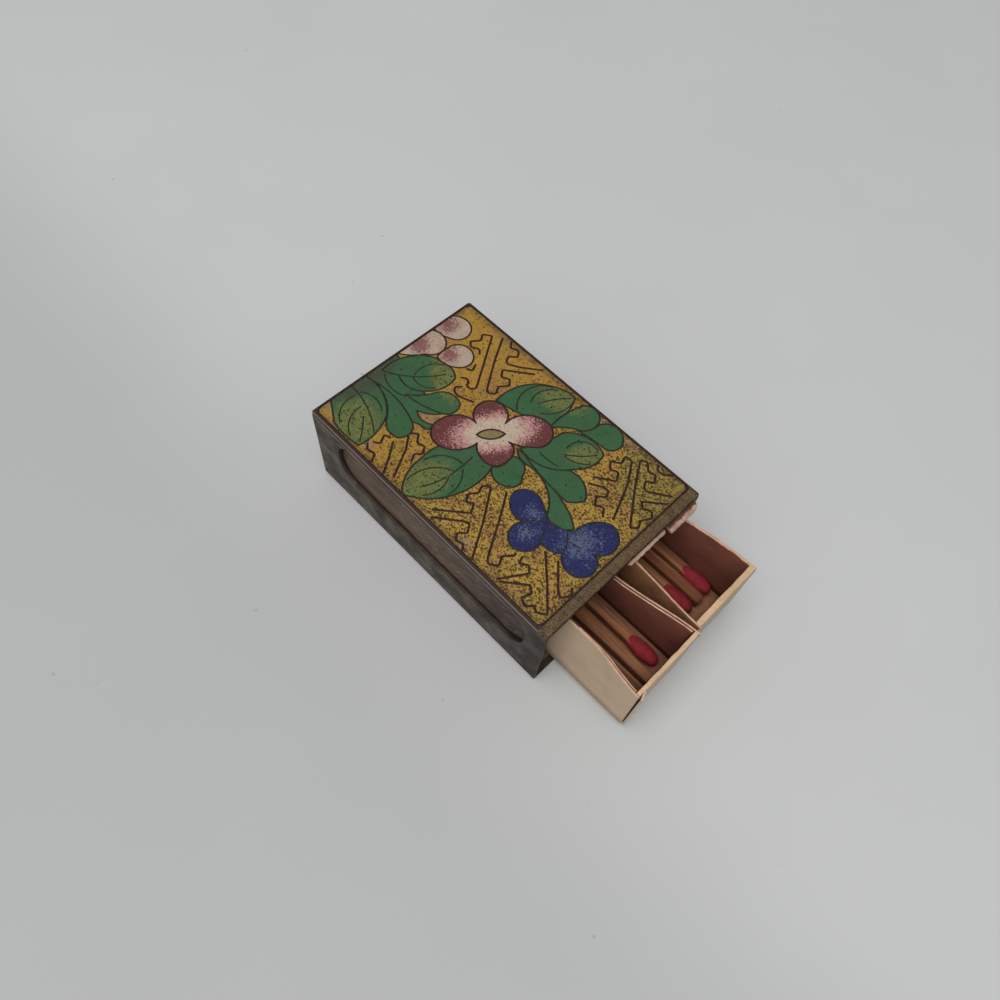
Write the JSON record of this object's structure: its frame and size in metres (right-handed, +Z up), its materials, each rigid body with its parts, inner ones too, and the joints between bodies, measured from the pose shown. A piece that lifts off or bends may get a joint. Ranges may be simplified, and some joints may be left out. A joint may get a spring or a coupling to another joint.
{
  "type": "matchbox holder",
  "caption": "Open-ended metal sleeve with an enamelled floral top and striker windows in its sides, holding a card matchbox with two sliding trays of matches.",
  "frame": {"origin": "centre of the sleeve's flat underside", "axes": "+X the way the trays pull out at the front, +Y towards the far long side, +Z up through the enamelled top"},
  "size_m": [0.0736, 0.0378, 0.021],
  "materials": {
    "sleeve_metal": "dark patinated, worn at the edges",
    "cloison_wire": "dull brown",
    "yellow_enamel": "polished, finely pitted",
    "green_enamel": "polished, finely pitted",
    "white_pink_enamel": "polished, finely pitted",
    "olive_enamel": "polished",
    "blue_enamel": "polished, finely pitted",
    "box_card": "matte",
    "striker": "rough, scratched",
    "tray_card": "matte",
    "match_wood": "plain split aspen",
    "match_head": "matte, grainy"
  },
  "bodies": {
    "holder": {"channel": "sleeve_metal", "top_plate": "sleeve_metal", "border_wire": "cloison_wire", "fret_wires": "cloison_wire", "leaf_wires": "cloison_wire", "bud_wires": "cloison_wire", "petal_wires": "cloison_wire", "flower_centre_wires": "cloison_wire", "blossom_wires": "cloison_wire", "enamel_ground": "yellow_enamel", "enamel_leaf": "green_enamel", "enamel_bud": "white_pink_enamel", "enamel_petal": "white_pink_enamel", "enamel_flower_centre": "olive_enamel", "enamel_blossom": "blue_enamel"},
    "matchbox_shell": {"matchbox_shell": "box_card", "near_striker_strip": "striker", "far_striker_strip": "striker"},
    "left_tray": {"left_tray": "tray_card", "left_tray_liner": "tray_card", "left_tray_corner_flap": "tray_card", "left_match_sticks": "match_wood", "left_match_heads": "match_head"},
    "right_tray": {"right_tray": "tray_card", "right_match_sticks": "match_wood", "right_match_heads": "match_head"}
  },
  "joints": [
    {"name": "matchbox_slide", "type": "slide", "parent": "holder", "child": "matchbox_shell", "axis": [1, 0, 0], "range_m": [-0.045, 0.045]},
    {"name": "left_tray_slide", "type": "slide", "parent": "matchbox_shell", "child": "left_tray", "axis": [1, 0, 0], "range_m": [-0.05, 0.02]},
    {"name": "right_tray_slide", "type": "slide", "parent": "matchbox_shell", "child": "right_tray", "axis": [1, 0, 0], "range_m": [-0.05, 0.02]}
  ]
}
